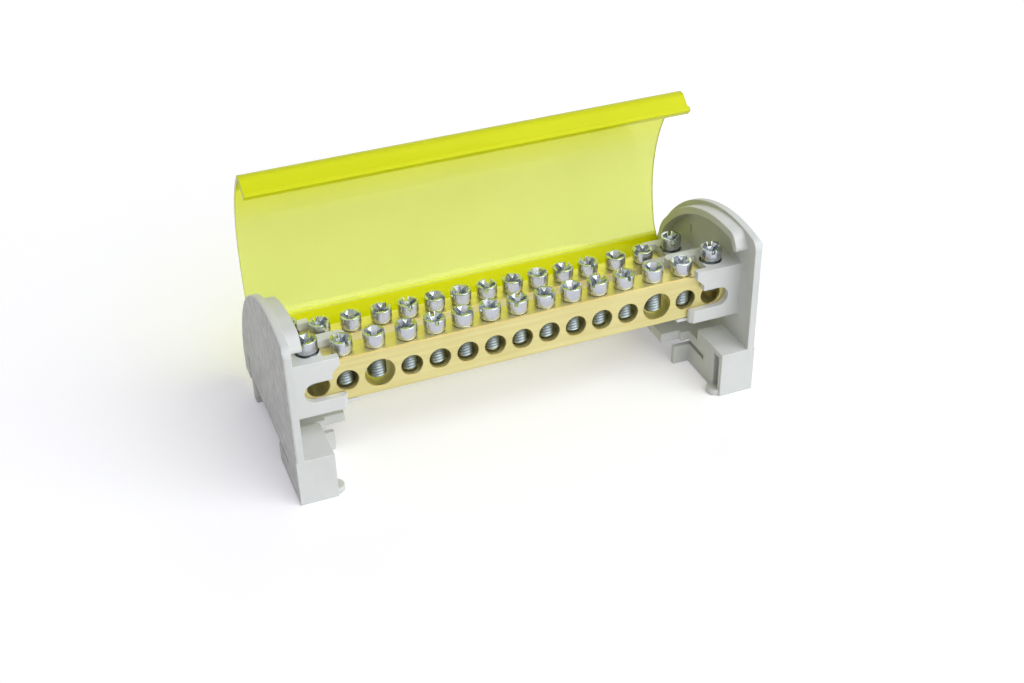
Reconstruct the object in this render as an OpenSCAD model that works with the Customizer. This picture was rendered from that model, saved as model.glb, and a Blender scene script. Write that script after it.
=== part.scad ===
// Two-bar power distribution block for a 35 mm rail: stepped brass bars in a pair of
// moulded end brackets, under a hooked cover that stands open behind the terminals.
// X runs along the bars, Y from front to back, Z up. The origin is the middle of the rail seat.

/* [Terminals] */
// Distance between neighbouring small wire holes
pitch = 7.2; // [6.8:0.1:9]
// Distance from a large wire hole to each neighbour
wide_pitch = 8.1; // [7.6:0.1:10]
// Diameter of a small wire hole
small_hole_d = 5.5; // [4.5:0.1:6]
// Diameter of a large wire hole
large_hole_d = 7.5; // [6:0.1:8]
// Width of the countersink at the mouth of a wire hole
hole_chamfer = 0.15; // [0.1:0.05:0.4]

/* [Bars] */
// Depth of a bar from front to back
bar_depth = 6.5; // [6.2:0.1:8]
// Height of a bar
bar_height = 12; // [11:0.1:15]
// Height of the wire holes above the underside of a bar
hole_rise = 5.5; // [5:0.1:6.5]
// Length of a bar past the centre of its last wire hole
bar_end = 5; // [4.5:0.1:7]
// Chamfer along the edges of a bar
bar_edge = 0.2; // [0.1:0.05:0.6]
// How far the back bar stands behind the front bar
step_back = 22; // [20:0.1:24]
// How far the back bar sits below the front bar
step_down = 8.5; // [7:0.1:9.5]

/* [Screws] */
// Diameter of a screw's shank
shank_d = 4.9; // [4:0.1:5.2]
// Radial clearance of a shank in its tapped hole
thread_gap = 0.05; // [0.02:0.01:0.08]
// Gap between a tightened screw's tip and the floor of a small wire hole
tip_gap = 0.45; // [0.2:0.05:1]
// Chamfer at a screw's tip
tip_chamfer = 0.6; // [0.3:0.05:1]
// Depth of a tapped hole below the tip of its tightened screw
drill_gap = 0.3; // [0.2:0.05:0.6]
// Diameter of a screw's head
head_d = 5.5; // [5.2:0.1:6]
// Height of a screw's head
head_h = 3.7; // [3:0.1:4.2]
// Rounding of a head's upper edge
head_round = 0.5; // [0.2:0.05:0.8]
// Width of the slot across a head
slot_w = 1; // [0.6:0.05:1.2]
// Depth of the slot across a head
slot_depth = 1.1; // [0.6:0.05:1.6]
// Span of the cross recess in a head
cross_span = 4.2; // [3.6:0.1:4.4]
// Width of the cross recess's arms
cross_w = 1.5; // [1.2:0.05:1.7]
// Depth of the cross recess in a head
cross_depth = 2; // [1.2:0.05:2.4]
// How far an end screw stands outside its wire hole
end_screw_shift = 1.2; // [0.6:0.1:1.6]

/* [Bracket plate] */
// Thickness of a bracket's outer plate
plate_t = 2.2; // [2:0.1:3]
// Rounding of the plate's outer edge
plate_edge = 0.7; // [0.5:0.1:1.7]
// How far the plate stands in front of the front bar
plate_front = 8.6; // [8:0.1:10]
// How far the plate reaches behind the front bar's front face
plate_back = 47.3; // [46:0.1:49]
// Radius of the plate's domed top
dome_r = 45.5; // [44.5:0.1:47]
// Distance of the dome's centre behind the front bar's front face
dome_y = 3.3; // [2.5:0.1:5]
// Height of the dome's crown above the front wire holes
dome_top = 19.2; // [18.8:0.1:20.5]
// Rounding of the plate's upper front corner
plate_corner = 3; // [2:0.1:4]
// Height of the plate's rear lower edge above the feet
plate_tail = 4.9; // [3:0.1:6]
// Width of the upright groove inside the plate, above the back bar
mark_w = 0.7; // [0.4:0.1:1.2]
// Height of the groove
mark_h = 2.8; // [2:0.1:4]
// Depth of the groove
mark_depth = 0.8; // [0.4:0.1:1.2]
// Height of the groove above the back bar
mark_rise = 5.2; // [4.8:0.1:6]

/* [Bar pockets] */
// Gap between a bar's end and the end wall of its pocket
bar_end_gap = 0.3; // [0.1:0.05:0.6]
// Clearance between a bar and the walls of its pocket
bar_fit = 0.05; // [0.02:0.01:0.1]
// Thickness of a pocket's end wall
end_wall = 1.8; // [1.5:0.1:3]
// Thickness of the slotted wall that holds a bar's wire side
slot_wall_t = 2.1; // [1.8:0.1:3]
// Thickness of the finger behind a bar
finger_t = 3; // [2:0.1:4]
// Thickness of the shelf under an end screw's head
shelf_t = 2.1; // [1.5:0.1:2.6]
// Thickness of the pocket's floor
floor_t = 1; // [0.8:0.1:1.6]
// Reach of the finger and the floor past a bar's end
finger_reach = 14.4; // [12:0.1:16]
// Reach of the upper prong past a bar's end
upper_reach = 10.2; // [9.8:0.1:11]
// Reach of the lower prong past a bar's end
lower_reach = 11.6; // [10.5:0.1:13]
// Reach of the shelf past a bar's end
shelf_reach = 6.8; // [6.4:0.1:7]
// How far the upper prong's nose overhangs its root
nose_reach = 2; // [1:0.1:2.5]
// Height of the upper prong's nose
nose_h = 2.2; // [1.5:0.1:2.6]
// Chamfer on the lower prong's end
prong_chamfer = 1; // [0.5:0.1:1.5]
// Clearance round an end screw in its shelf
shelf_hole_gap = 0.35; // [0.3:0.05:0.5]

/* [Rail foot] */
// Width of the rail that the feet clip on
rail_w = 35; // [35:0.5:36]
// Thickness of the rail's flanges
rail_t = 1; // [1:0.1:1.3]
// Clearance of a rail flange in its slot
rail_gap = 0.3; // [0.2:0.05:0.5]
// Distance of the rail's middle behind the front bar's front face
rail_mid = 19; // [18.5:0.1:20]
// Height of the front wire holes above the rail seat
seat_drop = 20; // [19:0.1:22]
// Height of the rail seat above the underside of the feet
seat_rise = 6.9; // [6:0.1:7.4]
// Width of a foot along the bars
foot_w = 9.6; // [8:0.1:12]
// Height of the front foot
foot_h = 12.9; // [11:0.1:14]
// Depth of the front foot's tall block
block_depth = 13.8; // [12:0.1:15]
// Reach of the front jaw over and under the rail
jaw_reach = 9.8; // [8.6:0.1:10.2]
// Thickness of the front jaw's end pad
pad_t = 1.4; // [1:0.1:2]
// How far the jaw's upper pad stands in past the foot
upper_pad = 2.4; // [1:0.1:4]
// How far the jaw's lower pad stands in past the foot
lower_pad = 4.4; // [2:0.1:5]
// Thickness of the shelf that rests on the rail
seat_t = 2.8; // [2:0.1:3.2]
// Width of that shelf along the bars
seat_w = 17.3; // [12:0.1:18]
// Thickness of the rear latch
latch_t = 3; // [2:0.1:3.5]
// Reach of the rear latch's nose under the rail
latch_reach = 2.2; // [1.5:0.1:3]
// Width of the relief slit behind the rear latch
latch_slit = 1.7; // [1:0.1:2]
// Thickness of the walls round the hollow in the front foot
foot_wall = 1.6; // [1.2:0.1:2.4]
// Width of the hollow in the front foot
hollow_w = 2.6; // [2:0.1:4]
// Radius of the round tab at the bottom of the front foot
tab_r = 2.2; // [1.5:0.1:2.6]
// Thickness of the round tab
tab_h = 1.6; // [1:0.1:2.5]

/* [Cover] */
// Middle radius of the cover's top
cover_r = 43.4; // [43:0.1:44]
// Middle radius of the cover's tighter rear turn
back_r = 13; // [12.5:0.1:13.5]
// Angle on the closed cover's circle at which the rear turn begins
back_angle = 39.5; // [38.5:0.1:40.5]
// Thickness of the cover
cover_t = 1.2; // [0.8:0.05:1.5]
// Distance of the closed cover's centre behind the front bar's front face
cover_y = 2.35; // [2:0.05:2.8]
// How far the closed cover's top stands above the dome's crown
cover_rise = 0.85; // [0.6:0.05:1.1]
// Gap between the closed cover and the brackets
cover_gap = 0.3; // [0.25:0.05:0.5]
// Angle from the closed position to the open one
open_angle = 55; // [45:0.5:57]
// Angle of the hinge bead on the rear turn's circle
hinge_angle = -32.3; // [-34:0.1:-31]
// Angle of the front bend on the closed cover's circle
crest_angle = 101.8; // [101:0.1:102.6]
// Middle radius of the front bend
bend_r = 1.9; // [1.5:0.1:2.5]
// Angle of the front bend
bend_angle = 84; // [70:1:90]
// Length of the lip below the front bend
lip_len = 4.6; // [3:0.1:5]
// How far the finger edge stands out from the lip
lip_edge = 0.9; // [0.5:0.1:1.5]
// Height of the finger edge
lip_edge_h = 1.3; // [0.8:0.1:2]
// How far the hook wraps round its hinge bead
hook_wrap = 170; // [160:1:174]
// How far each fold of the cover stands past the wall that it joins
fold_lap = 0.05; // [0.03:0.01:0.1]
// Radius of the hinge bead
bead_r = 1.5; // [1.2:0.05:1.7]
// Radial clearance of the hook on its bead
bead_gap = 0.06; // [0.03:0.01:0.09]
// Thickness of the rim that carries the closed cover
rim_t = 2; // [1.5:0.1:2.4]
// Width of the rim along the bars
rim_w = 3.3; // [2.5:0.1:4]
// Outer radius of the rim's front corner
rim_round = 3.5; // [3:0.1:4]
// Length of the rim's front leg below that corner
rim_leg = 2; // [1:0.1:3]

/* [Hidden] */
$fn = 64;
screw_count = 15;
large_holes = [3, 13];
edge_steps = 4;
eps = 0.01;
big = 200;
brass = [0.86, 0.77, 0.44];
zinc = [0.78, 0.80, 0.83];
grey = [0.72, 0.72, 0.70];
yellow = [0.86, 0.89, 0.28, 0.7];

// Wire holes along a bar, numbered from 1
function is_large(i) = len([for (k = large_holes) if (k == i) k]) > 0;
function hole_d(i) = is_large(i) ? large_hole_d : small_hole_d;
function gap_after(i) = is_large(i) || is_large(i + 1) ? wide_pitch : pitch;
function from_first(i) = i <= 1 ? 0 : from_first(i - 1) + gap_after(i - 1);
function hole_x(i) = from_first(i) - from_first(screw_count) / 2;
function is_end(i) = i == 1 || i == screw_count;
function screw_x(i) = hole_x(i) + (i == screw_count ? end_screw_shift : i == 1 ? -end_screw_shift : 0);
function screw_seat(i) = bar_top + (is_end(i) ? shelf_t : 0);
function drive_turn(i) = (i * 53) % 180;
function screw_name(row, i) = str(row, "_screw_", i < 10 ? "0" : "", i);

bar_top = bar_height - hole_rise;
bar_half = hole_x(screw_count) + bar_end;
tip_low = tip_gap - small_hole_d / 2;
shank_len = bar_top - tip_low;
tapped_d = shank_d + 2 * thread_gap;

// The bracket, as half widths along X and heights from the front wire holes
plate_in = bar_half + bar_end_gap + end_wall;
plate_out = plate_in + plate_t;
dome_z = dome_top - dome_r;
foot_low = -seat_drop - seat_rise;
foot_top = foot_low + foot_h;
foot_in = plate_out - foot_w;
rail_front = rail_mid - rail_w / 2 - rail_gap;
rail_rear = rail_mid + rail_w / 2 + rail_gap;
jaw_end = rail_front + jaw_reach;
rail_slot_low = -seat_drop - rail_t - rail_gap;
latch_back = rail_rear + latch_t;
tail_start = latch_back + latch_slit;
slit_top = -seat_drop + seat_t + latch_t;

// The closed cover and its hinge, as [Y, Z] from the front wire holes
cover_c = [cover_y, dome_top + cover_rise - cover_t / 2 - cover_r];
hook_mid = bead_r + bead_gap + cover_t / 2;
back_c = cover_c + (cover_r - back_r + 2 * fold_lap) * [cos(back_angle), sin(back_angle)];
hinge = back_c + (back_r - hook_mid + fold_lap) * [cos(hinge_angle), sin(hinge_angle)];
cover_half = plate_in - cover_gap;
rim_drop = cover_t / 2 + cover_gap;
bend_c = cover_c + (cover_r - bend_r + fold_lap) * [cos(crest_angle), sin(crest_angle)];
bend_in = bend_r - cover_t / 2;
bend_out = bend_r + cover_t / 2;
lip_angle = crest_angle + bend_angle;
lip_start = bend_c + (bend_r - fold_lap) * [cos(lip_angle), sin(lip_angle)];
// Angles past the bend's end at which its two faces run into the lip's
fold_in = acos(1 - fold_lap / bend_in);
fold_out = acos(1 - fold_lap / bend_out);
lip_dir = [cos(lip_angle + 90), sin(lip_angle + 90)];
lip_tip = lip_start + lip_len * lip_dir - cover_t / 2 * [cos(lip_angle), sin(lip_angle)];
// The rim's front leg follows the path that the lip's tip swings along, inside it
leg_reach = norm(lip_tip - hinge) - cover_gap - rim_round;
rim_reach = cover_r - rim_drop - rim_round;
hinge_way = hinge - cover_c;
hinge_far = norm(hinge_way);
rim_turn = acos((pow(hinge_far, 2) + pow(rim_reach, 2) - pow(leg_reach, 2)) / (2 * hinge_far * rim_reach));
rim_end = atan2(hinge_way[1], hinge_way[0]) + rim_turn;
rim_corner = cover_c + (rim_reach + fold_lap) * [cos(rim_end), sin(rim_end)];
corner_in = rim_round - rim_t;
leg_way = rim_corner - hinge;
leg_angle = atan2(leg_way[1], leg_way[0]);
leg_out = norm(leg_way) + rim_round - fold_lap;
leg_end = leg_angle + rim_leg / leg_out * 180 / PI;
// Angle past the corner's end at which it stops inside the leg
corner_lap = (acos(1 - fold_lap / corner_in) + acos(1 - fold_lap / rim_round)) / 2;

// Moves a shape from the front wire holes to the rail seat
module on_rail() {
    translate([0, -rail_mid, seat_drop]) children();
}

// Moves a shape from the front bar to the back bar
module on_back_bar() {
    translate([0, step_back, -step_down]) children();
}

// Turns a bar's shape round, so that its wire side faces the back
module faced_back() {
    translate([0, bar_depth, 0]) mirror([0, 1, 0]) children();
}

// Extrudes a [Y, Z] outline along X
module along_x(x0, x1) {
    translate([x0, 0, 0]) rotate([90, 0, 90]) linear_extrude(x1 - x0) children();
}

// Extrudes an [X, Z] outline along Y
module along_y(y0, y1) {
    translate([0, y1, 0]) rotate([90, 0, 0]) linear_extrude(y1 - y0) children();
}

// A block between two corners
module block(low, high) {
    translate(low) cube(high - low);
}

// A rectangle between two corners
module rect(low, high) {
    translate(low) square(high - low);
}

// A wedge of a disc, from angle a0 to a1
module disc_wedge(r, a0, a1) {
    steps = 6;
    turn = (a1 - a0) / steps;
    reach = r / cos(turn / 2) + 1;
    intersection() {
        circle(r);
        polygon(concat([[0, 0]], [for (k = [0:steps]) reach * [cos(a0 + k * turn), sin(a0 + k * turn)]]));
    }
}

// A stretch of a flat ring, from angle a0 to a1
module ring_stretch(r_in, r_out, a0, a1) {
    difference() {
        disc_wedge(r_out, a0, a1);
        circle(r_in);
    }
}

// The half plane to the left of a line through the origin
module left_of(a) {
    rotate(a) rect([-big, 0], [big, big]);
}

// Bars

module bar_section() {
    e = bar_edge;
    d = bar_depth;
    low = -hole_rise;
    polygon([[e, low], [d - e, low], [d, low + e], [d, bar_top - e],
        [d - e, bar_top], [e, bar_top], [0, bar_top - e], [0, low + e]]);
}

module wire_hole(d) {
    along_y(-eps, bar_depth + eps) circle(d = d);
    translate([0, -eps, 0]) rotate([-90, 0, 0])
        cylinder(h = hole_chamfer + eps, d1 = d + 2 * hole_chamfer, d2 = d);
    translate([0, bar_depth + eps, 0]) rotate([90, 0, 0])
        cylinder(h = hole_chamfer + eps, d1 = d + 2 * hole_chamfer, d2 = d);
}

module bar() {
    difference() {
        along_x(-bar_half, bar_half) bar_section();
        for (i = [1:screw_count]) {
            translate([hole_x(i), 0, 0]) wire_hole(hole_d(i));
            translate([screw_x(i), bar_depth / 2, tip_low - drill_gap])
                cylinder(h = bar_top + 1 - tip_low + drill_gap, d = tapped_d);
        }
    }
}

module front_bar() {
    color(brass) on_rail() bar();
}

module back_bar() {
    color(brass) on_rail() on_back_bar() bar();
}

// Screws

module head_section() {
    r = head_d / 2;
    rect([0, 0], [r, head_h - head_round]);
    rect([0, 0], [r - head_round, head_h]);
    translate([r - head_round, head_h - head_round]) circle(head_round);
}

module drive_recess() {
    translate([0, 0, head_h - slot_depth / 2 + eps]) cube([head_d + 1, slot_w, slot_depth], center = true);
    for (turn = [0, 90])
        rotate(turn) translate([0, 0, head_h - cross_depth / 2 + eps])
            cube([cross_span, cross_w, cross_depth], center = true);
}

// A screw with the underside of its head at height 0
module screw(i) {
    difference() {
        union() {
            rotate_extrude() head_section();
            translate([0, 0, tip_chamfer - shank_len])
                cylinder(h = shank_len - tip_chamfer + eps, d = shank_d);
            translate([0, 0, -shank_len])
                cylinder(h = tip_chamfer, d1 = shank_d - 2 * tip_chamfer, d2 = shank_d);
        }
        rotate(drive_turn(i)) drive_recess();
    }
}

module screw_in_bar(i) {
    translate([screw_x(i), bar_depth / 2, screw_seat(i)]) screw(i);
}

module front_screw(i) {
    color(zinc) on_rail() screw_in_bar(i);
}

module back_screw(i) {
    color(zinc) on_rail() on_back_bar() screw_in_bar(i);
}

// Brackets, drawn for the right end

// The round corner where the dome meets the plate's front edge
corner_y = plate_corner - plate_front;
corner_z = dome_z + sqrt(pow(dome_r - plate_corner, 2) - pow(corner_y - dome_y, 2));
corner_out = [corner_y - dome_y, corner_z - dome_z] / (dome_r - plate_corner);

module plate_outline() {
    corner = [corner_y, corner_z];
    side = 2 * plate_corner;
    difference() {
        rect([-plate_front, foot_low], [plate_back, dome_top + 1]);
        polygon([corner, corner - [side, 0], corner + [-side, side], corner + side * corner_out]);
        rect([jaw_end, foot_low - 1], [rail_rear, -seat_drop]);
        rect([latch_back, foot_low - 1], [tail_start, slit_top]);
        rect([tail_start - eps, foot_low - 1], [plate_back + 1, foot_low + plate_tail]);
        rail_slot();
    }
    translate(corner) circle(plate_corner);
}

// The slot that the rail's front flange slides into
module rail_slot() {
    rect([rail_front, rail_slot_low], [jaw_end + 1, -seat_drop]);
}

// Points round a quarter turn of the plate's edge, from the side to the outer face
function edge_turn(k) = plate_edge * [cos(90 * k / edge_steps), sin(90 * k / edge_steps)];

// A disc with the dome's radius and an eased outer edge
module round_disc() {
    inner = [dome_r, plate_t] - [plate_edge, plate_edge];
    edge = [for (k = [0:edge_steps]) inner + edge_turn(k)];
    translate([plate_in, dome_y, dome_z]) rotate([0, 90, 0])
        rotate_extrude($fn = 128) polygon(concat([[0, 0], [dome_r, 0]], edge, [[0, plate_t]]));
}

// A tall prism with eased outer corners at the plate's front and back
module round_prism() {
    x = plate_out - plate_edge;
    front = plate_edge - plate_front;
    back = plate_back - plate_edge;
    front_edge = [for (k = [0:edge_steps]) [x + edge_turn(k)[1], front - edge_turn(k)[0]]];
    back_edge = [for (k = [edge_steps:-1:0]) [x + edge_turn(k)[1], back + edge_turn(k)[0]]];
    translate([0, 0, foot_low - 1]) linear_extrude(dome_top - foot_low + 2)
        polygon(concat([[plate_in, -plate_front]], front_edge, back_edge, [[plate_in, plate_back]]));
}

module plate() {
    difference() {
        intersection() {
            along_x(plate_in, plate_out) plate_outline();
            round_disc();
            round_prism();
        }
        translate([plate_in, step_back + bar_depth / 2, bar_top - step_down + mark_rise])
            block([-eps, -mark_w / 2, 0], [mark_depth, mark_w / 2, mark_h]);
    }
}

// The closed cover's arch set off by a distance, solid to its centres: a wide top and a tighter rear turn
module arch(off, front) {
    lap_turn = 12;
    translate(cover_c) disc_wedge(cover_r + off, back_angle, front);
    translate(back_c) disc_wedge(back_r + off, hinge_angle, back_angle + lap_turn);
}

// The hollow under the arch's top
module top_hollow(off) {
    intersection() {
        translate(cover_c) circle(cover_r + off);
        translate(cover_c - [0, 1]) left_of(back_angle);
    }
}

// The hollow inside the arch's rear turn
module back_hollow(off) {
    translate(back_c) circle(back_r + off);
}

// The rim's section before it is hollowed: the arch, its front corner and the leg below that
module rim_solid() {
    arch(-rim_drop, rim_end);
    translate(rim_corner) disc_wedge(rim_round, rim_end - 90, leg_angle + corner_lap);
    translate(hinge) ring_stretch(leg_out - rim_t, leg_out, leg_angle, leg_end);
}

// The arched rim that the closed cover lies on, with the bead that its hook turns on
module rim() {
    slant = 5;
    along_x(plate_in - rim_w, plate_in + eps) {
        difference() {
            rim_solid();
            intersection() {
                top_hollow(-rim_drop - rim_t);
                translate(rim_corner) left_of(rim_end + 180 - slant);
            }
            back_hollow(-rim_drop - rim_t);
            translate(rim_corner) circle(corner_in);
        }
        translate(hinge) {
            circle(bead_r);
            rotate(leg_end) translate([leg_out - rim_t / 2, 0]) circle(rim_t / 2);
        }
    }
}

// The upper prong of the slotted wall, in [X, Z]
module upper_prong() {
    tip = bar_half - upper_reach;
    root = tip + nose_reach;
    top = bar_top + shelf_t;
    nose_low = top - nose_h;
    far = plate_in + eps;
    polygon([[tip, top], [far, top], [far, 0], [root, 0], [root, nose_low - nose_reach], [tip, nose_low]]);
}

// The gap that leaves the last wire hole open, in [X, Z]
module wire_gap() {
    r = small_hole_d / 2;
    far = screw_x(screw_count);
    rect([0, -r], [far, r]);
    translate([far, 0]) circle(r);
}

// The lower prong of the slotted wall, in [X, Y]
module lower_prong() {
    tip = bar_half - lower_reach;
    polygon([[tip, -bar_fit], [tip, prong_chamfer - slot_wall_t], [tip + prong_chamfer, -slot_wall_t],
        [plate_in + eps, -slot_wall_t], [plate_in + eps, -bar_fit]]);
}

module slotted_wall() {
    low = -hole_rise - floor_t;
    difference() {
        union() {
            along_y(-slot_wall_t, -bar_fit) upper_prong();
            translate([0, 0, low]) linear_extrude(-low + eps) lower_prong();
        }
        along_y(-slot_wall_t - 1, 0) wire_gap();
    }
}

// The finger behind the bar, with a round end
module finger() {
    low = -hole_rise - floor_t;
    y0 = bar_depth + bar_fit;
    r = finger_t / 2;
    tip = bar_half - finger_reach;
    translate([0, 0, low]) linear_extrude(bar_top + shelf_t - low) {
        rect([tip + r, y0], [plate_in + eps, y0 + finger_t]);
        translate([tip + r, y0 + r]) circle(r);
    }
}

// The pocket that grips one end of a bar
module pocket() {
    low = -hole_rise - floor_t;
    top = bar_top + shelf_t;
    back = bar_depth + bar_fit + finger_t;
    slotted_wall();
    finger();
    block([bar_half + bar_end_gap, -slot_wall_t, low], [plate_in + eps, back, top]);
    block([bar_half - finger_reach, -bar_fit, low], [plate_in, back - finger_t / 2, -hole_rise - bar_fit]);
    difference() {
        block([bar_half - shelf_reach, -slot_wall_t, bar_top + bar_fit], [plate_in, back, top]);
        translate([screw_x(screw_count), bar_depth / 2, 0])
            cylinder(h = top + 1, d = shank_d + 2 * shelf_hole_gap);
    }
}

// The front foot's side outline: a tall block, and a jaw with a slot for the rail's front flange
module foot_outline() {
    difference() {
        union() {
            rect([-plate_front, foot_low], [block_depth - plate_front, foot_top]);
            rect([-plate_front, foot_low], [jaw_end, -seat_drop + seat_t]);
        }
        rail_slot();
    }
}

// The hooked rear latch that snaps under the rail's other flange
module latch_outline() {
    nose = rail_rear - latch_reach - rail_gap;
    nose_t = latch_reach / 2;
    rect([rail_rear, foot_low], [latch_back, -seat_drop + seat_t]);
    polygon([[rail_rear + eps, rail_slot_low], [nose, rail_slot_low], [nose, rail_slot_low - nose_t],
        [rail_rear + eps, foot_low + foot_wall]]);
}

module feet() {
    hollow_front = foot_wall - plate_front;
    difference() {
        along_x(foot_in, plate_out) foot_outline();
        block([foot_in - eps, hollow_front, foot_low + foot_wall],
            [plate_in, hollow_front + hollow_w, foot_top - foot_wall]);
    }
    block([foot_in - upper_pad, jaw_end - pad_t, -seat_drop], [foot_in + eps, jaw_end, -seat_drop + seat_t]);
    block([foot_in - lower_pad, jaw_end - pad_t, foot_low], [foot_in + eps, jaw_end, rail_slot_low]);
    along_x(foot_in, plate_out) latch_outline();
    block([plate_out - seat_w, jaw_end - eps, -seat_drop], [plate_in + eps, latch_back, -seat_drop + seat_t]);
    translate([foot_in, hollow_front + hollow_w / 2, foot_low]) cylinder(h = tab_h, r = tab_r);
}

module right_end() {
    plate();
    rim();
    pocket();
    on_back_bar() faced_back() pocket();
    feet();
}

module right_bracket() {
    color(grey) on_rail() right_end();
}

module left_bracket() {
    color(grey) on_rail() mirror([1, 0, 0]) right_end();
}

// Cover

// The hollow under the closed cover's wall, which ends at the hook and at the front bend
module cover_hollow() {
    slant = 5;
    intersection() {
        top_hollow(-cover_t / 2);
        translate(bend_c) left_of(crest_angle + 180 - slant);
    }
    intersection() {
        back_hollow(-cover_t / 2);
        translate(hinge) left_of(hinge_angle + 180 - hook_wrap);
    }
}

// The lip in front of the closed cover, with its finger edge
module lip() {
    half = cover_t / 2;
    root = bend_in * sin(fold_in) / 2;
    step = lip_len - lip_edge_h;
    out = -half - lip_edge;
    translate(lip_start) rotate(lip_angle + 90)
        polygon([[-root, -half], [step, -half], [step, out], [lip_len, out], [lip_len, half], [-root, half]]);
}

// The section of the closed cover: curved wall, hinge hook and front lip
module cover_section() {
    half = cover_t / 2;
    difference() {
        union() {
            arch(half, crest_angle);
            translate(hinge) circle(hook_mid + half);
            translate(bend_c) disc_wedge(bend_out, crest_angle - 90, lip_angle + (fold_in + fold_out) / 2);
            lip();
        }
        cover_hollow();
        translate(hinge) circle(hook_mid - half);
        translate(bend_c) circle(bend_in);
    }
}

// The cover at rest, swung open about its hinge bead
module cover() {
    color(yellow) on_rail() along_x(-cover_half, cover_half)
        translate(hinge) rotate(-open_angle) translate(-hinge) cover_section();
}

left_bracket();
right_bracket();
front_bar();
back_bar();
cover();
for (i = [1:screw_count]) {
    front_screw(i);
    back_screw(i);
}
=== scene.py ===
import math

import bmesh
import bpy
from mathutils import Matrix, Vector
from mathutils.bvhtree import BVHTree


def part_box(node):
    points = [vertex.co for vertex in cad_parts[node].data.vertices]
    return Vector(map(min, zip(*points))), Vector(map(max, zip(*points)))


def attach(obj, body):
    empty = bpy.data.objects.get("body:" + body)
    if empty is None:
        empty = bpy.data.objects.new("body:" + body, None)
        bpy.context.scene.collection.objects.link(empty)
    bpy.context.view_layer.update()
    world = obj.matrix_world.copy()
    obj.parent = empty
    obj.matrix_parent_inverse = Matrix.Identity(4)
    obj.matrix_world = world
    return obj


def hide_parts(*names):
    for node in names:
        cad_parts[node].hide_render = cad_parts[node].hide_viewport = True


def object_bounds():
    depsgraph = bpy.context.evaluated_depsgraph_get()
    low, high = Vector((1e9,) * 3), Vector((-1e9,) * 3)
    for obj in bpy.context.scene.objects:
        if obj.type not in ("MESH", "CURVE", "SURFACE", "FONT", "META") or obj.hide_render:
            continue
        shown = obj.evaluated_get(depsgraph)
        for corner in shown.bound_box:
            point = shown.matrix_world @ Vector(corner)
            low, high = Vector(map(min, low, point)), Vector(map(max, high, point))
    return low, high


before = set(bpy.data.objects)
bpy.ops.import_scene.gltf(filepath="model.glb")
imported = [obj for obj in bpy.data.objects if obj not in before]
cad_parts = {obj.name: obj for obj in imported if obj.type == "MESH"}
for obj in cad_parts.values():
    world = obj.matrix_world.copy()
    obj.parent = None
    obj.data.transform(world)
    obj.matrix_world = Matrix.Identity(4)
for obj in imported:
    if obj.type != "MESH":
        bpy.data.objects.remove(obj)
cad_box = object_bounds()

MM = 0.001
MERGE_WITHIN = 0.002 * MM
ORIGIN = (0, 0, 0)
UPWARDS = (0, 0, 1)
FULL_TURN = 2 * math.pi


# Meshes

CREASE = 35.0
FLAT_WITHIN = 0.6
EASED_ABOVE = 28.0
EASE_STEPS = 2
# Share of the easing radius past which a point is put back on its solid
STRAY_SHARE = 0.6


def mesh_of(name, bm):
    """Turns a bmesh into a mesh."""
    mesh = bpy.data.meshes.new(name)
    bm.to_mesh(mesh)
    bm.free()
    return mesh


def object_of(name, mesh):
    """Puts a mesh into the scene."""
    made = bpy.data.objects.new(name, mesh)
    bpy.context.scene.collection.objects.link(made)
    return made


def shown(name, bm, finish, crease=CREASE):
    """Makes an object of a bmesh, smooth except along creases sharper than the given angle."""
    mesh = mesh_of(name, bm)
    mesh.shade_smooth()
    mesh.set_sharp_from_angle(angle=math.radians(crease))
    mesh.materials.append(finish)
    piece = object_of(name, mesh)
    even = piece.modifiers.new("even_shading", "WEIGHTED_NORMAL")
    even.keep_sharp = True
    return piece


def ease_edges(bm, above, radius, clamp):
    """Rounds off the edges of a bmesh that are sharper than an angle in degrees."""
    limit = math.radians(above)
    sharp = [e for e in bm.edges if e.is_manifold and e.calc_face_angle(0.0) > limit]
    bmesh.ops.bevel(bm, geom=sharp, offset=radius, offset_type="OFFSET", segments=EASE_STEPS,
                    profile=0.5, affect="EDGES", clamp_overlap=clamp, material=-1)


def eased_copy(node, radius):
    """A bmesh of a CAD node's own shape, with its sharp edges rounded off."""
    bm = bmesh.new()
    bm.from_mesh(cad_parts[node].data)
    solid = BVHTree.FromBMesh(bm)
    bmesh.ops.remove_doubles(bm, verts=bm.verts, dist=MERGE_WITHIN)
    bmesh.ops.dissolve_limit(bm, angle_limit=math.radians(FLAT_WITHIN), verts=bm.verts,
                             edges=bm.edges)
    ease_edges(bm, EASED_ABOVE, radius, clamp=False)
    low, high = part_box(node)
    for v in bm.verts:
        on_solid, _, _, apart = solid.find_nearest(v.co)
        if apart > STRAY_SHARE * radius:
            v.co = on_solid
        v.co = [min(max(place, least), most) for place, least, most in zip(v.co, low, high)]
    return bm


# Node helpers

WHITE = (1, 1, 1)
# Noise keeps mostly between these two values
NOISE_LOW, NOISE_HIGH = 0.3, 0.7
# Share of a normal along X between which a face comes to count as an outside one
OUTSIDE_FROM, OUTSIDE_TO = 0.6, 0.9


def new_finish(name):
    """A material with its node tree and its shader."""
    finish = bpy.data.materials.new(name)
    finish.use_nodes = True
    tree = finish.node_tree
    return finish, tree, tree.nodes["Principled BSDF"]


def add_node(tree, kind, **inputs):
    """Adds a node and sets its inputs by name."""
    made = tree.nodes.new(kind)
    for key, value in inputs.items():
        made.inputs[key.replace("_", " ")].default_value = value
    return made


def set_even(shader, **inputs):
    """Sets a shader's inputs that are the same all over the surface."""
    for key, value in inputs.items():
        shader.inputs[key.replace("_", " ")].default_value = value


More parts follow.
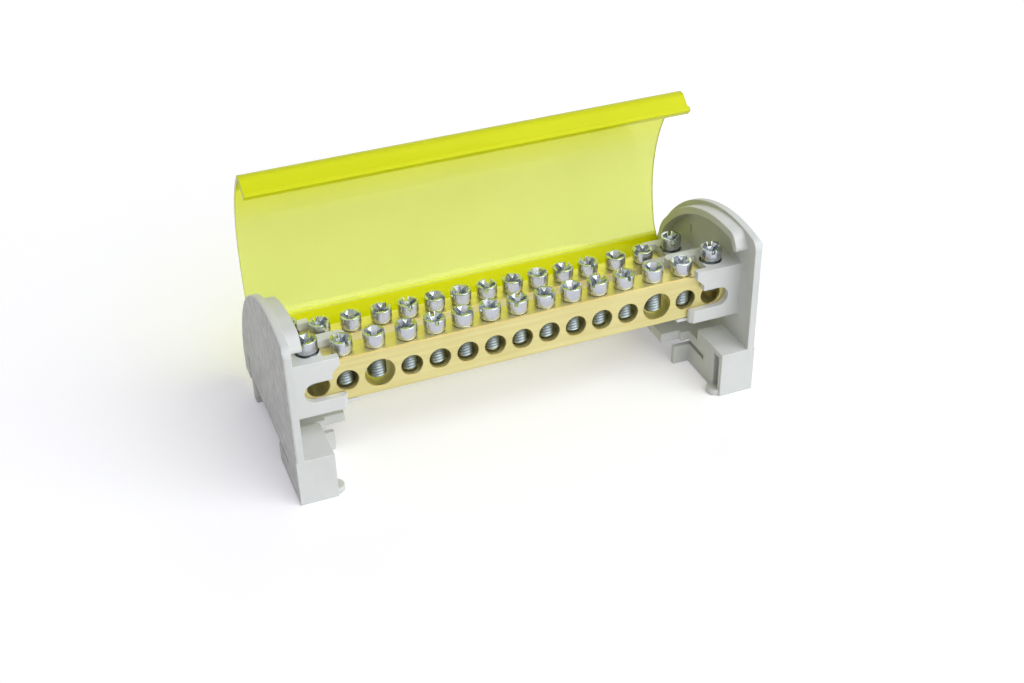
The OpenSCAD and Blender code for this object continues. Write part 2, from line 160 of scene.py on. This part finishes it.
def noise_on(tree, scale, detail, stretch=(1, 1, 1), tilt=0, rough=0.5):
    """Noise on the piece's own coordinates in metres, stretched, and tilted about X in degrees."""
    coords = tree.nodes.new("ShaderNodeTexCoord")
    mapping = add_node(tree, "ShaderNodeMapping", Scale=stretch,
                       Rotation=(math.radians(tilt), 0, 0))
    noise = add_node(tree, "ShaderNodeTexNoise", Scale=scale, Detail=detail, Roughness=rough)
    tree.links.new(coords.outputs["Object"], mapping.inputs["Vector"])
    tree.links.new(mapping.outputs["Vector"], noise.inputs["Vector"])
    return noise.outputs["Fac"]


def ramp_of(tree, value, stops):
    """Colours by a value, from stops of (place, colour)."""
    ramp = tree.nodes.new("ShaderNodeValToRGB")
    elements = ramp.color_ramp.elements
    while len(elements) < len(stops):
        elements.new(1.0)
    for element, (place, colour) in zip(elements, stops):
        element.position = place
        element.color = (*colour, 1)
    tree.links.new(value, ramp.inputs["Fac"])
    return ramp.outputs["Color"]


def shades_of(tree, noise, low_colour, high_colour):
    """Colours that follow a noise."""
    return ramp_of(tree, noise, [(NOISE_LOW, low_colour), (NOISE_HIGH, high_colour)])


def span_of(tree, value, low, high, out_low, out_high):
    """Maps a value between two places to numbers."""
    span = add_node(tree, "ShaderNodeMapRange", From_Min=low, From_Max=high,
                    To_Min=out_low, To_Max=out_high)
    tree.links.new(value, span.inputs["Value"])
    return span.outputs["Result"]


def roughen(tree, shader, noise, at_low, at_high):
    """Makes a surface's roughness follow a noise."""
    tree.links.new(span_of(tree, noise, NOISE_LOW, NOISE_HIGH, at_low, at_high),
                   shader.inputs["Roughness"])


def tinted(tree, under, over, amount=1.0):
    """Lays one colour over another by an even or varying amount, by multiplying."""
    mix = tree.nodes.new("ShaderNodeMix")
    mix.data_type = "RGBA"
    mix.blend_type = "MULTIPLY"
    if isinstance(amount, float):
        mix.inputs["Factor"].default_value = amount
    else:
        tree.links.new(amount, mix.inputs["Factor"])
    tree.links.new(under, mix.inputs["A"])
    tree.links.new(over, mix.inputs["B"])
    return mix.outputs["Result"]


def bumps(tree, shader, layers):
    """Chains bump layers of (height, strength, millimetres) into the shader's normal."""
    last = None
    for height, strength, depth in layers:
        bump = add_node(tree, "ShaderNodeBump", Strength=strength, Distance=depth * MM)
        tree.links.new(height, bump.inputs["Height"])
        if last:
            tree.links.new(last, bump.inputs["Normal"])
        last = bump.outputs["Normal"]
    tree.links.new(last, shader.inputs["Normal"])


def standing_out(tree):
    """How far a surface stands out at its edges."""
    return tree.nodes.new("ShaderNodeNewGeometry").outputs["Pointiness"]


def parts_of(tree, kind):
    """The three parts of the piece's own coordinates or of its own normal."""
    coords = tree.nodes.new("ShaderNodeTexCoord")
    parts = tree.nodes.new("ShaderNodeSeparateXYZ")
    tree.links.new(coords.outputs[kind], parts.inputs["Vector"])
    return parts.outputs


def sum_of(tree, operation, *values):
    """A sum done on one or two values."""
    sum_node = tree.nodes.new("ShaderNodeMath")
    sum_node.operation = operation
    for value, place in zip(values, sum_node.inputs):
        tree.links.new(value, place)
    return sum_node.outputs[0]


def on_outside(tree, elsewhere, there):
    """One amount on faces that look away from the middle along the bars, another elsewhere."""
    side = sum_of(tree, "SIGN", parts_of(tree, "Object")["X"])
    outward = sum_of(tree, "MULTIPLY", side, parts_of(tree, "Normal")["X"])
    return span_of(tree, outward, OUTSIDE_FROM, OUTSIDE_TO, elsewhere, there)


# Finishes

GREY_DARK, GREY_LIGHT = (0.615, 0.624, 0.614), (0.665, 0.674, 0.664)
FLECK_SHADE_DARK, FLECK_SHADE_LIGHT = (0.64, 0.628, 0.62), (0.98, 0.965, 0.955)
GREY_CREASE_SHADE = (0.93, 0.93, 0.92)
BRASS_DARK, BRASS_LIGHT = (0.71, 0.640, 0.285), (0.765, 0.700, 0.345)
DRAW_LINE = (0.87, 0.85, 0.80)
BRASS_EDGE_SHADE = (0.46, 0.38, 0.30)
ZINC_DARK, ZINC_LIGHT = (0.53, 0.55, 0.60), (0.63, 0.645, 0.68)
THREAD_SHADE_DARK, THREAD_SHADE_LIGHT = (0.24, 0.265, 0.30), (0.34, 0.365, 0.40)
ZINC_HOLLOW_SHADE = (0.55, 0.57, 0.60)
ZINC_TOP_SHADE_AND_REFLECTION = (0.74, 0.83, 0.70)
HAZE = (0.96, 0.97, 0.93)
PAINTED_END_LIGHT = (0.88, 0.88, 0.10)
SHEET_GLOSS = (0.50, 0.52, 0.16, 1)
SHEET_DEPTH = (0.97, 0.985, 0.25, 1)
SHEET_SHADOW = (0.84, 0.85, 0.79, 1)
PLASTIC_IOR = 1.49


def grey_moulding():
    """Light grey moulded plastic, mottled on the plates' outer faces and painted darker there as
    shade, with painted shade in its creases.
    """
    finish, tree, shader = new_finish("grey_moulding")
    cloud = noise_on(tree, scale=90, detail=4)
    fleck = noise_on(tree, scale=540, detail=3, stretch=(1, 1, 0.6), tilt=30, rough=0.6)
    grain = noise_on(tree, scale=5200, detail=2)
    body = shades_of(tree, cloud, GREY_DARK, GREY_LIGHT)
    # Partly real mottle, partly painted shade: the plates' outer faces are also painted darker
    # overall, standing in for the lesser light on the sides.
    side_shade_mottle = ramp_of(tree, fleck, [(0.36, FLECK_SHADE_DARK), (0.64, FLECK_SHADE_LIGHT)])
    side_shaded_body = tinted(tree, body, side_shade_mottle, on_outside(tree, 0.05, 0.95))
    # Painted shade: creases and hollows are made darker by how far the surface stands out, in place
    # of the shade that falls there.
    painted_shade = ramp_of(tree, standing_out(tree), [(0.47, GREY_CREASE_SHADE), (0.56, WHITE)])
    tree.links.new(tinted(tree, side_shaded_body, painted_shade, 0.8), shader.inputs["Base Color"])
    roughen(tree, shader, fleck, 0.40, 0.54)
    set_even(shader, Specular_IOR_Level=0.42)
    bumps(tree, shader, [(cloud, 0.15, 0.4), (fleck, 0.15, 0.06), (grain, 0.12, 0.02)])
    return finish


def drawn_brass():
    """Pale drawn brass with fine lines along the bar, with painted shade on its sloping edges."""
    finish, tree, shader = new_finish("drawn_brass")
    cloud = noise_on(tree, scale=60, detail=4)
    drawn = noise_on(tree, scale=700, detail=4, stretch=(0.03, 1, 1), rough=0.65)
    pits = noise_on(tree, scale=2600, detail=2)
    body = shades_of(tree, cloud, BRASS_DARK, BRASS_LIGHT)
    lined = tinted(tree, body, ramp_of(tree, drawn, [(0.32, DRAW_LINE), (0.66, WHITE)]), 0.8)
    # Painted shade: faces that slope between front or back and top, the bars' edge chamfers, are
    # made darker brown to hold down the light they catch.
    normal = parts_of(tree, "Normal")
    slope = sum_of(tree, "ABSOLUTE", sum_of(tree, "MULTIPLY", normal["Y"], normal["Z"]))
    painted_shade = ramp_of(tree, slope, [(0.25, WHITE), (0.45, BRASS_EDGE_SHADE)])
    tree.links.new(tinted(tree, lined, painted_shade), shader.inputs["Base Color"])
    roughen(tree, shader, drawn, 0.52, 0.40)
    set_even(shader, Metallic=1.0)
    bumps(tree, shader, [(drawn, 0.16, 0.04), (pits, 0.10, 0.02)])
    return finish


def zinc_plating(name, low, high, smooth, dull):
    """Plated steel between two colours and two roughnesses, with painted shade in its hollows and
    painted shade and reflection on its tops.
    """
    finish, tree, shader = new_finish(name)
    cloud = noise_on(tree, scale=380, detail=3)
    scuff = noise_on(tree, scale=2400, detail=3, stretch=(1, 1, 0.3), rough=0.6)
    body = shades_of(tree, cloud, low, high)
    # Painted shade: hollows such as the drive and the roots of the thread are made darker by how
    # far the surface stands out.
    painted_shade = ramp_of(tree, standing_out(tree), [(0.42, ZINC_HOLLOW_SHADE), (0.55, WHITE)])
    # Painted shade and painted reflection: faces that look up are made darker and yellow-green,
    # standing in for less light on the tops and the yellow sheet mirrored there.
    painted_top = ramp_of(tree, parts_of(tree, "Normal")["Z"], [(0.5, WHITE), (0.9, ZINC_TOP_SHADE_AND_REFLECTION)])
    tree.links.new(tinted(tree, tinted(tree, body, painted_shade, 0.7), painted_top),
                   shader.inputs["Base Color"])
    roughen(tree, shader, scuff, smooth, dull)
    set_even(shader, Metallic=1.0)
    bumps(tree, shader, [(cloud, 0.12, 0.05), (scuff, 0.08, 0.01)])
    return finish


# Heights on the open cover in millimetres: top of the foot's strip, the wall, and the lip
STRIP_TOP, WALL_LOW, WALL_MID, WALL_HIGH, LIP_LOW = 13.1, 13.3, 40.0, 54.5, 57.0
COVER_TOP = 65.0
# Painted light: the sheet is the same all over; its deeper yellow on the foot's strip, the upper
# wall and the lip stands in for how light passes through it there.
COVER_TINT_AND_PAINTED_DEPTH = [(STRIP_TOP, (0.70, 0.70, 0.004)), (WALL_LOW, (0.815, 0.85, 0.45)),
                 (WALL_MID, (0.815, 0.85, 0.40)), (WALL_HIGH, (0.845, 0.87, 0.13)),
                 (LIP_LOW, (0.70, 0.72, 0.022))]
# The strip and the lip are also made less clear, as part of the same painted light.
PAINTED_DENSE, CLEAR = (0.28, 0.28, 0.28), (0.85, 0.85, 0.85)
COVER_PAINTED_CLEARNESS = [(STRIP_TOP, PAINTED_DENSE), (WALL_LOW, CLEAR), (WALL_HIGH, CLEAR), (LIP_LOW, PAINTED_DENSE)]


def bands_of(tree, bands):
    """Colours by the height of a point on the piece, in millimetres."""
    height = span_of(tree, parts_of(tree, "Object")["Z"], 0, COVER_TOP * MM, 0, 1)
    return ramp_of(tree, height, [(place / COVER_TOP, colour) for place, colour in bands])


def let_lamps_through(tree, shader, tint):
    """Lets lamps shine through a surface with a tint, where it would cast a full shadow."""
    through = add_node(tree, "ShaderNodeBsdfTransparent", Color=tint)
    lamps = tree.nodes.new("ShaderNodeLightPath")
    either = tree.nodes.new("ShaderNodeMixShader")
    tree.links.new(lamps.outputs["Is Shadow Ray"], either.inputs["Fac"])
    tree.links.new(shader.outputs["BSDF"], either.inputs[1])
    tree.links.new(through.outputs["BSDF"], either.inputs[2])
    tree.links.new(either.outputs["Shader"], tree.nodes["Material Output"].inputs["Surface"])


def clear_yellow():
    """Clear yellow sheet, with deeper yellow and less clearness painted on its foot, its lip and
    its cut ends as stand-ins for how light passes through it.
    """
    finish, tree, shader = new_finish("clear_yellow")
    pull = noise_on(tree, scale=260, detail=3, stretch=(0.02, 1, 1))
    haze = noise_on(tree, scale=40, detail=3)
    banded = tinted(tree, bands_of(tree, COVER_TINT_AND_PAINTED_DEPTH), shades_of(tree, haze, HAZE, WHITE))
    # Painted light: the cut ends are made saturated yellow and less clear, standing in for light
    # carried inside the sheet to its edges.
    sideways = sum_of(tree, "ABSOLUTE", parts_of(tree, "Normal")["X"])
    ends_from, ends_to = 0.3, 0.7
    painted_end_tint = ramp_of(tree, sideways, [(ends_from, WHITE), (ends_to, PAINTED_END_LIGHT)])
    tree.links.new(tinted(tree, banded, painted_end_tint), shader.inputs["Base Color"])
    clear_left = span_of(tree, sideways, ends_from, ends_to, 1, 0.2)
    clearness = sum_of(tree, "MULTIPLY", bands_of(tree, COVER_PAINTED_CLEARNESS), clear_left)
    tree.links.new(clearness, shader.inputs["Transmission Weight"])
    roughen(tree, shader, haze, 0.05, 0.09)
    set_even(shader, IOR=PLASTIC_IOR, Specular_IOR_Level=0.05, Specular_Tint=SHEET_GLOSS)
    bumps(tree, shader, [(pull, 0.02, 0.05)])
    depth = add_node(tree, "ShaderNodeVolumeAbsorption", Color=SHEET_DEPTH, Density=600.0)
    tree.links.new(depth.outputs["Volume"], tree.nodes["Material Output"].inputs["Volume"])
    let_lamps_through(tree, shader, SHEET_SHADOW)
    return finish


GREY = grey_moulding()
BRASS = drawn_brass()
ZINC = zinc_plating("bright_zinc", ZINC_DARK, ZINC_LIGHT, smooth=0.18, dull=0.32)
# Painted shade: the threads get a much darker copy of the same plating, standing in for the shade
# inside the holes.
THREAD = zinc_plating("shaded_thread_zinc", THREAD_SHADE_DARK, THREAD_SHADE_LIGHT, smooth=0.30, dull=0.45)
YELLOW = clear_yellow()


# Screws

SCREWS_IN_ROW = 15
# Half of a head's section in millimetres: radius, and height above its underside
HEAD_SECTION = [(0, 0), (2.36, 0), (2.46, 0.12), (2.58, 0.4), (2.67, 0.8), (2.73, 1.3), (2.75, 1.8),
                (2.75, 3.45), (2.71, 3.6), (2.58, 3.7), (0, 3.7)]
HEAD_H = HEAD_SECTION[-1][1] * MM
ROUND_STEPS = 36
SLOT_LEN, SLOT_W, SLOT_CUT_H = 6.4 * MM, 1.0 * MM, 2.2 * MM
ARM_LEN, ARM_W, ARM_CUT_H = 4.5 * MM, 1.65 * MM, 3.8 * MM
ARM_LEN_SHARE, ARM_W_SHARE = 0.6, 0.7
CUT_PROUD = 0.01 * MM
DISH_LOW_R, DISH_TOP_R, DISH_H, DISH_DROP = 1.1 * MM, 2.28 * MM, 1.0 * MM, 0.2 * MM
DRIVE_EASE = 0.07 * MM
DRIVE_EASED_ABOVE = 40
SCREW_CREASE = 30
THREAD_R = 2.43 * MM
THREAD_ROOT = 2.02 * MM
THREAD_PITCH = 0.8 * MM
THREAD_FLAT = 0.1 * THREAD_PITCH
THREAD_STEPS = 24
THREAD_TURNS = 13
SHANK_LEN = 8.8 * MM
SHANK_IN_HEAD = 0.02 * MM
TIP_R = 1.75 * MM
# Degrees from one screw's slot to the next one's
SLOT_STEP = 53


def head_shape():
    """A cheese head with a soft rim, standing on height 0, before its drive is cut."""
    bm = bmesh.new()
    verts = [bm.verts.new((r * MM, 0, z * MM)) for r, z in HEAD_SECTION]
    edges = [bm.edges.new(pair) for pair in zip(verts, verts[1:])]
    bmesh.ops.spin(bm, geom=verts + edges, cent=ORIGIN, axis=UPWARDS, dvec=ORIGIN,
                   angle=FULL_TURN, steps=ROUND_STEPS, use_merge=True, use_duplicate=False)
    bmesh.ops.remove_doubles(bm, verts=bm.verts, dist=MERGE_WITHIN)
    bmesh.ops.recalc_face_normals(bm, faces=bm.faces)
    return bm


def turn_about_axis(bm, degrees):
    """Turns a bmesh about the screw's axis."""
    turn = Matrix.Rotation(math.radians(degrees), 3, "Z")
    bmesh.ops.rotate(bm, verts=bm.verts, cent=ORIGIN, matrix=turn)


def slot_cutter():
    """The cutter for the slot right across the head."""
    bm = bmesh.new()
    slot = bmesh.ops.create_cube(bm, size=1)["verts"]
    bmesh.ops.scale(bm, verts=slot, vec=(SLOT_LEN, SLOT_W, SLOT_CUT_H))
    bmesh.ops.translate(bm, verts=slot, vec=(0, 0, HEAD_H))
    return bm


def cross_cutter(degrees):
    """The cutter for one tapered arm of the cross, turned about the head's axis."""
    bm = bmesh.new()
    arm = bmesh.ops.create_cube(bm, size=1)["verts"]
    bmesh.ops.scale(bm, verts=arm, vec=(ARM_LEN, ARM_W, ARM_CUT_H))
    for v in arm:
        if v.co.z < 0:
            v.co.x *= ARM_LEN_SHARE
            v.co.y *= ARM_W_SHARE
        else:
            v.co.z = CUT_PROUD
    bmesh.ops.translate(bm, verts=arm, vec=(0, 0, HEAD_H))
    turn_about_axis(bm, degrees)
    return bm


def dish_cutter():
    """The cutter for the dish that the cross stands in."""
    bm = bmesh.new()
    dish = bmesh.ops.create_cone(bm, cap_ends=True, segments=ROUND_STEPS, radius1=DISH_LOW_R,
                                 radius2=DISH_TOP_R, depth=DISH_H)["verts"]
    bmesh.ops.translate(bm, verts=dish, vec=(0, 0, HEAD_H - DISH_DROP))
    return bm


def cut_head():
    """The head with its drive cut into it, as a bmesh."""
    head = object_of("head_blank", mesh_of("head_blank", head_shape()))
    cutters = [object_of("drive_cutter", mesh_of("drive_cutter", cutter))
               for cutter in (slot_cutter(), dish_cutter(), cross_cutter(0), cross_cutter(90))]
    for cutter in cutters:
        cut = head.modifiers.new("cut", "BOOLEAN")
        cut.operation = "DIFFERENCE"
        cut.solver = "EXACT"
        cut.object = cutter
    bpy.context.view_layer.update()
    done = head.evaluated_get(bpy.context.evaluated_depsgraph_get())
    bm = bmesh.new()
    bm.from_mesh(done.to_mesh())
    done.to_mesh_clear()
    for made in [head] + cutters:
        mesh = made.data
        bpy.data.objects.remove(made)
        bpy.data.meshes.remove(mesh)
    bmesh.ops.remove_doubles(bm, verts=bm.verts, dist=MERGE_WITHIN)
    return bm


def add_thread(bm):
    """Adds a threaded shank below height 0, with a chamfered tip."""
    start = -SHANK_LEN - THREAD_PITCH
    crest = (THREAD_PITCH - THREAD_FLAT) / 2
    tooth = [(THREAD_ROOT, 0), (THREAD_ROOT, THREAD_FLAT), (THREAD_R, crest),
             (THREAD_R, crest + THREAD_FLAT), (THREAD_ROOT, THREAD_PITCH)]
    shank = bmesh.new()
    verts = [shank.verts.new((r, 0, start + z)) for r, z in tooth]
    edges = [shank.edges.new(pair) for pair in zip(verts, verts[1:])]
    bmesh.ops.spin(shank, geom=verts + edges, cent=ORIGIN, axis=UPWARDS,
                   dvec=(0, 0, THREAD_PITCH / THREAD_STEPS), angle=FULL_TURN * THREAD_TURNS,
                   steps=THREAD_STEPS * THREAD_TURNS, use_merge=False, use_duplicate=False)
    bmesh.ops.remove_doubles(shank, verts=shank.verts, dist=MERGE_WITHIN)
    for height, keep_above in ((-SHANK_LEN, True), (SHANK_IN_HEAD, False)):
        geom = shank.verts[:] + shank.edges[:] + shank.faces[:]
        cut = bmesh.ops.bisect_plane(shank, geom=geom, plane_co=(0, 0, height), plane_no=UPWARDS,
                                     clear_inner=keep_above, clear_outer=not keep_above)
        rim = [e for e in cut["geom_cut"] if isinstance(e, bmesh.types.BMEdge)]
        bmesh.ops.triangle_fill(shank, edges=rim, use_beauty=True)
    for v in shank.verts:
        reach = TIP_R + (v.co.z + SHANK_LEN)
        across = math.hypot(v.co.x, v.co.y)
        if across > reach:
            v.co.x *= reach / across
            v.co.y *= reach / across
    bmesh.ops.recalc_face_normals(shank, faces=shank.faces)
    mesh = mesh_of("shank", shank)
    bm.from_mesh(mesh)
    bpy.data.meshes.remove(mesh)


def screw_shape():
    """A whole screw, as a mesh to copy, with the underside of its head at height 0."""
    bm = cut_head()
    ease_edges(bm, DRIVE_EASED_ABOVE, DRIVE_EASE, clamp=True)
    add_thread(bm)
    return mesh_of("screw_shape", bm)


def place_screws():
    """Puts a copy of the screw where each CAD screw is."""
    shape = screw_shape()
    for row in ("front", "back"):
        for number in range(1, SCREWS_IN_ROW + 1):
            node = "%s_screw_%02d" % (row, number)
            low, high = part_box(node)
            seat = Vector(((low.x + high.x) / 2, (low.y + high.y) / 2, high.z - HEAD_H))
            bm = bmesh.new()
            bm.from_mesh(shape)
            turn_about_axis(bm, (number * SLOT_STEP) % 180)
            bmesh.ops.translate(bm, verts=bm.verts, vec=seat)
            for face in bm.faces:
                # Faces below the head take the darker copy of the plating, as painted shade.
                face.material_index = 1 if face.calc_center_median().z < seat.z else 0
            piece = shown("cut_" + node, bm, ZINC, crease=SCREW_CREASE)
            piece.data.materials.append(THREAD)
            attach(piece, node)
            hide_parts(node)
    bpy.data.meshes.remove(shape)


# Brackets, bars and cover

BRACKET_EASE = 0.22 * MM
COVER_EASE = 0.15 * MM


def dress_brackets():
    """Puts mouldings with soft edges in the brackets' places."""
    for side in ("left", "right"):
        node = side + "_bracket"
        piece = shown(side + "_moulding", eased_copy(node, BRACKET_EASE), GREY)
        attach(piece, "frame")
        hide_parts(node)


def dress_bars():
    """Gives the CAD bars their brass."""
    for row in ("front", "back"):
        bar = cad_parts[row + "_bar"]
        bar.data.materials.clear()
        bar.data.materials.append(BRASS)


def dress_cover():
    """Puts a sheet with soft edges in the cover's place."""
    piece = shown("cover_sheet", eased_copy("cover", COVER_EASE), YELLOW)
    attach(piece, "cover")
    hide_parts("cover")


# Studio

VIEW_PLACE = (-0.1097, -0.2997, 0.2223)
VIEW_YAW, VIEW_PITCH, VIEW_ROLL = 20.83, 33.97, -1.4
VIEW_LENS = 51.55
VIEW_SENSOR = 36.0
VIEW_NEAR = 0.01
FLOOR_HALF = 3.0
FLOOR_CELLS = 8
FLOOR_GAP = 0.05 * MM
FLOOR_COLOUR = (0.86, 0.86, 0.86, 1)
FLOOR_GLOW = (0.93, 0.88, 1, 1)
# The floor's glow for the eye, at two distances from the middle in metres
GLOW_FROM, GLOW_TO = 0.1, 1.2
GLOW_NEAR, GLOW_FAR = 0.24, 0.8
SKY_LIGHT, SKY_SEEN = 0.32, 1.0
LAMP_TINT = (0.975, 1.0, 1.02)
LAMP_AIM = (0, 0, 0.02)


def place_camera():
    """The camera where the photograph was taken from."""
    yaw, pitch, roll = (math.radians(a) for a in (VIEW_YAW, VIEW_PITCH, VIEW_ROLL))
    ahead = Vector((math.sin(yaw) * math.cos(pitch), math.cos(yaw) * math.cos(pitch),
                    -math.sin(pitch)))
    right = Vector((math.cos(yaw), -math.sin(yaw), 0))
    up = right.cross(ahead)
    tilted_right = math.cos(roll) * right + math.sin(roll) * up
    tilted_up = -math.sin(roll) * right + math.cos(roll) * up
    data = bpy.data.cameras.new("camera")
    data.lens = VIEW_LENS
    data.sensor_width = VIEW_SENSOR
    data.sensor_fit = "HORIZONTAL"
    data.clip_start = VIEW_NEAR
    camera = object_of("camera", data)
    turn = Matrix((tilted_right, tilted_up, -ahead)).transposed()
    camera.matrix_world = Matrix.Translation(VIEW_PLACE) @ turn.to_4x4()
    bpy.context.scene.camera = camera


def seen_directly(tree):
    """1 where the camera sees a surface, straight on or by a mirror or through glass."""
    path = tree.nodes.new("ShaderNodeLightPath")
    total = path.outputs["Is Camera Ray"]
    for name in ("Is Glossy Ray", "Is Transmission Ray"):
        total = sum_of(tree, "MAXIMUM", total, path.outputs[name])
    return total


def white_floor():
    """A pale floor that keeps the shadow, and grows whiter away from the object."""
    bm = bmesh.new()
    bmesh.ops.create_grid(bm, x_segments=FLOOR_CELLS, y_segments=FLOOR_CELLS, size=FLOOR_HALF)
    bmesh.ops.translate(bm, verts=bm.verts, vec=(0, 0, cad_box[0].z - FLOOR_GAP))
    finish, tree, shader = new_finish("white_paper")
    set_even(shader, Base_Color=FLOOR_COLOUR, Roughness=0.9, Specular_IOR_Level=0.1,
             Emission_Color=FLOOR_GLOW)
    spot = tree.nodes.new("ShaderNodeTexCoord")
    away = tree.nodes.new("ShaderNodeVectorMath")
    away.operation = "LENGTH"
    tree.links.new(spot.outputs["Object"], away.inputs[0])
    glow = span_of(tree, away.outputs["Value"], GLOW_FROM, GLOW_TO, GLOW_NEAR, GLOW_FAR)
    tree.links.new(sum_of(tree, "MULTIPLY", seen_directly(tree), glow),
                   shader.inputs["Emission Strength"])
    floor = shown("floor", bm, finish)


def soft_lamp(name, place, size, power):
    """A wide lamp that looks at the middle of the object."""
    data = bpy.data.lights.new(name, "AREA")
    data.shape = "RECTANGLE"
    data.size, data.size_y = size
    data.energy = power
    data.color = LAMP_TINT
    lamp = object_of(name, data)
    lamp.location = place
    way = Vector(LAMP_AIM) - Vector(place)
    lamp.rotation_euler = way.to_track_quat("-Z", "Y").to_euler()


def light_studio():
    """Even light from all round, a wide key lamp in front and a weak one behind."""
    world = bpy.data.worlds.new("studio")
    world.use_nodes = True
    bpy.context.scene.world = world
    tree = world.node_tree
    sky = tree.nodes["Background"]
    sky.inputs["Color"].default_value = (*WHITE, 1)
    strength = span_of(tree, seen_directly(tree), 0, 1, SKY_LIGHT, SKY_SEEN)
    tree.links.new(strength, sky.inputs["Strength"])
    soft_lamp("key", place=(0.75, -1.45, 1.50), size=(2.6, 2.0), power=52)
    soft_lamp("back", place=(0.35, 1.45, 1.15), size=(1.8, 1.0), power=5)


dress_brackets()
dress_bars()
dress_cover()
place_screws()
white_floor()
light_studio()
place_camera()
bpy.context.scene.view_settings.view_transform = "Standard"
